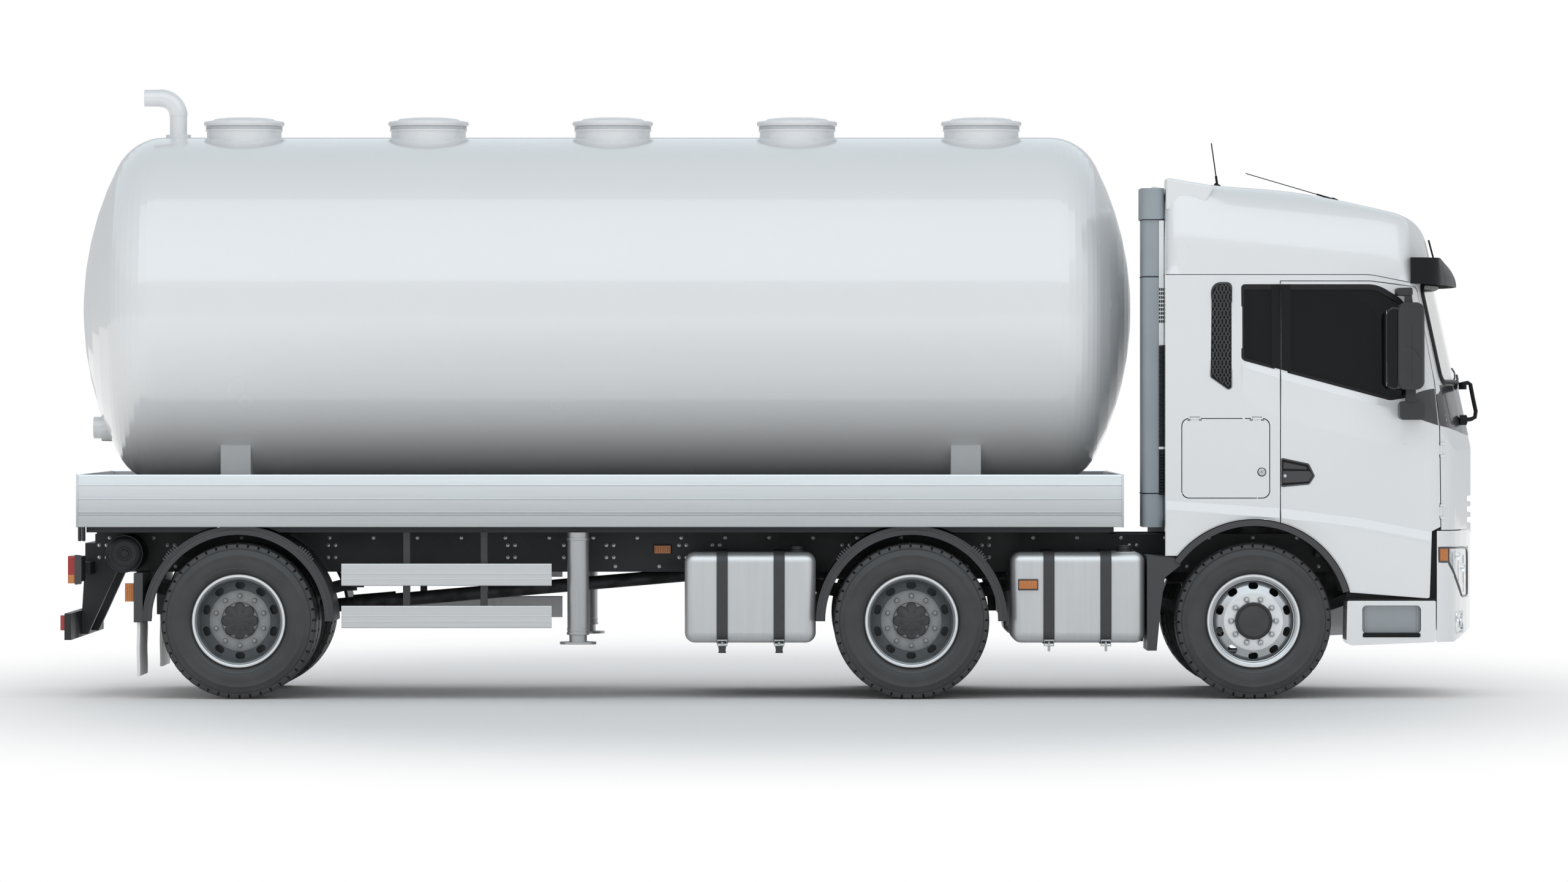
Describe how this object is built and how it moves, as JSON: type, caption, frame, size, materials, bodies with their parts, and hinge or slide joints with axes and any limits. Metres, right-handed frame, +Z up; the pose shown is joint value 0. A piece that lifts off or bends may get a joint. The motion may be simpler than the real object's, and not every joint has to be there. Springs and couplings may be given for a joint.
{
  "type": "tanker truck",
  "caption": "Three-axle rigid tanker truck: tall sleeper cab, round tank with manholes on a low-sided bed, twin rear wheels, support legs.",
  "frame": {"origin": "on the ground, in the middle of the length and width", "axes": "+X forward, +Y to the truck's left, +Z up"},
  "size_m": [9.255, 3.0984, 4.009],
  "materials": {
    "white_paint": "gloss",
    "chassis_paint": "satin",
    "aluminium": "satin",
    "bright_steel": "satin",
    "grey_steel": "satin",
    "cast": "matt",
    "black_plastic": "matt",
    "grey_plastic": "satin",
    "tyre": "matt",
    "glass": "gloss",
    "red_lens": "gloss",
    "amber_lens": "gloss",
    "clear_lens": "gloss",
    "fabric": "matt"
  },
  "bodies": {
    "chassis": {"frame": "chassis_paint", "axles": "cast", "leaf_springs": "chassis_paint", "prop_shaft": "cast", "engine": "cast", "bed_deck": "chassis_paint", "sideboards": "aluminium", "tank_shell": "white_paint", "tank_cradles": "white_paint", "mudguards": "black_plastic", "red_lamps": "red_lens", "underrun_bar": "chassis_paint", "amber_lamps": "amber_lens", "air_reservoirs": "chassis_paint", "fuel_tanks": "aluminium", "tank_straps": "chassis_paint", "side_guards": "aluminium", "leg_tubes": "grey_steel", "bumper": "white_paint", "cab_steps": "white_paint", "headlamps": "clear_lens", "cab_shell": "white_paint", "roof_cap": "white_paint", "front_panel": "white_paint", "fixed_glass": "glass", "sun_visor": "black_plastic", "antennas": "black_plastic", "air_intake": "grey_plastic", "seats": "fabric", "dashboard": "black_plastic"},
    "steered_hub_right": {"knuckle_right": "cast"},
    "steered_hub_left": {"knuckle_left": "cast"},
    "tie_rod": {"tie_rod": "cast"},
    "wheel_front_right": {"tyre_front_right": "tyre", "rim_front_right": "bright_steel"},
    "wheel_front_left": {"tyre_front_left": "tyre", "rim_front_left": "bright_steel"},
    "wheel_mid_right": {"tyre_mid_right": "tyre", "rim_mid_right": "grey_steel"},
    "wheel_mid_left": {"tyre_mid_left": "tyre", "rim_mid_left": "grey_steel"},
    "wheel_rear_right": {"tyre_rear_right": "tyre", "rim_rear_right": "grey_steel"},
    "wheel_rear_left": {"tyre_rear_left": "tyre", "rim_rear_left": "grey_steel"},
    "cab_door_right": {"door_right": "white_paint", "door_glass_right": "glass", "mirror_right": "black_plastic"},
    "cab_door_left": {"door_left": "white_paint", "door_glass_left": "glass", "mirror_left": "black_plastic"},
    "locker_lid_right": {"locker_right": "white_paint"},
    "locker_lid_left": {"locker_left": "white_paint"},
    "manhole_1": {"manhole_lid_1": "white_paint"},
    "manhole_2": {"manhole_lid_2": "white_paint"},
    "manhole_3": {"manhole_lid_3": "white_paint"},
    "manhole_4": {"manhole_lid_4": "white_paint"},
    "manhole_5": {"manhole_lid_5": "white_paint"},
    "support_leg_right": {"leg_right": "bright_steel"},
    "support_leg_left": {"leg_left": "bright_steel"}
  },
  "joints": [
    {"name": "steer_right", "type": "hinge", "parent": "chassis", "child": "steered_hub_right", "pos_m": [3.1275, -0.93, 0.507], "axis": [0, 0, 1], "range_deg": [-38, 38]},
    {"name": "steer_left", "type": "hinge", "parent": "chassis", "child": "steered_hub_left", "pos_m": [3.1275, 0.93, 0.507], "axis": [0, 0, 1], "range_deg": [-38, 38]},
    {"name": "tie_rod_pivot", "type": "hinge", "parent": "steered_hub_right", "child": "tie_rod", "pos_m": [2.9575, -0.93, 0.376], "axis": [0, 0, 1], "range_deg": [-38, 38]},
    {"name": "spin_front_right", "type": "hinge", "parent": "steered_hub_right", "child": "wheel_front_right", "pos_m": [3.1275, -1.03, 0.507], "axis": [0, 1, 0], "continuous": true},
    {"name": "spin_front_left", "type": "hinge", "parent": "steered_hub_left", "child": "wheel_front_left", "pos_m": [3.1275, 1.03, 0.507], "axis": [0, 1, 0], "continuous": true},
    {"name": "spin_mid_right", "type": "hinge", "parent": "chassis", "child": "wheel_mid_right", "pos_m": [0.9035, -1.08, 0.507], "axis": [0, 1, 0], "continuous": true},
    {"name": "spin_mid_left", "type": "hinge", "parent": "chassis", "child": "wheel_mid_left", "pos_m": [0.9035, 1.08, 0.507], "axis": [0, 1, 0], "continuous": true},
    {"name": "spin_rear_right", "type": "hinge", "parent": "chassis", "child": "wheel_rear_right", "pos_m": [-3.4675, -1.08, 0.507], "axis": [0, 1, 0], "continuous": true},
    {"name": "spin_rear_left", "type": "hinge", "parent": "chassis", "child": "wheel_rear_left", "pos_m": [-3.4675, 1.08, 0.507], "axis": [0, 1, 0], "continuous": true},
    {"name": "door_swing_right", "type": "hinge", "parent": "chassis", "child": "cab_door_right", "pos_m": [4.3405, -1.223, 1.42], "axis": [0, 0, 1], "range_deg": [0, 75]},
    {"name": "door_swing_left", "type": "hinge", "parent": "chassis", "child": "cab_door_left", "pos_m": [4.3405, 1.223, 1.42], "axis": [0, 0, -1], "range_deg": [0, 75]},
    {"name": "locker_swing_right", "type": "hinge", "parent": "chassis", "child": "locker_lid_right", "pos_m": [2.9415, -1.245, 1.823], "axis": [-1, 0, 0], "range_deg": [0, 85]},
    {"name": "locker_swing_left", "type": "hinge", "parent": "chassis", "child": "locker_lid_left", "pos_m": [2.9415, 1.245, 1.823], "axis": [1, 0, 0], "range_deg": [0, 85]},
    {"name": "manhole_swing_1", "type": "hinge", "parent": "chassis", "child": "manhole_1", "pos_m": [-3.5135, 0.294, 3.775], "axis": [-1, 0, 0], "range_deg": [0, 100]},
    {"name": "manhole_swing_2", "type": "hinge", "parent": "chassis", "child": "manhole_2", "pos_m": [-2.2885, 0.294, 3.775], "axis": [-1, 0, 0], "range_deg": [0, 100]},
    {"name": "manhole_swing_3", "type": "hinge", "parent": "chassis", "child": "manhole_3", "pos_m": [-1.0635, 0.294, 3.775], "axis": [-1, 0, 0], "range_deg": [0, 100]},
    {"name": "manhole_swing_4", "type": "hinge", "parent": "chassis", "child": "manhole_4", "pos_m": [0.1615, 0.294, 3.775], "axis": [-1, 0, 0], "range_deg": [0, 100]},
    {"name": "manhole_swing_5", "type": "hinge", "parent": "chassis", "child": "manhole_5", "pos_m": [1.3865, 0.294, 3.775], "axis": [-1, 0, 0], "range_deg": [0, 100]},
    {"name": "leg_slide_right", "type": "slide", "parent": "chassis", "child": "support_leg_right", "axis": [0, 0, -1], "range_m": [0, 0.34]},
    {"name": "leg_slide_left", "type": "slide", "parent": "chassis", "child": "support_leg_left", "axis": [0, 0, -1], "range_m": [0, 0.34]}
  ],
  "couplings": [
    {"joint": "steer_left", "follows": "steer_right", "ratio": 1},
    {"joint": "tie_rod_pivot", "follows": "steer_right", "ratio": -1}
  ]
}
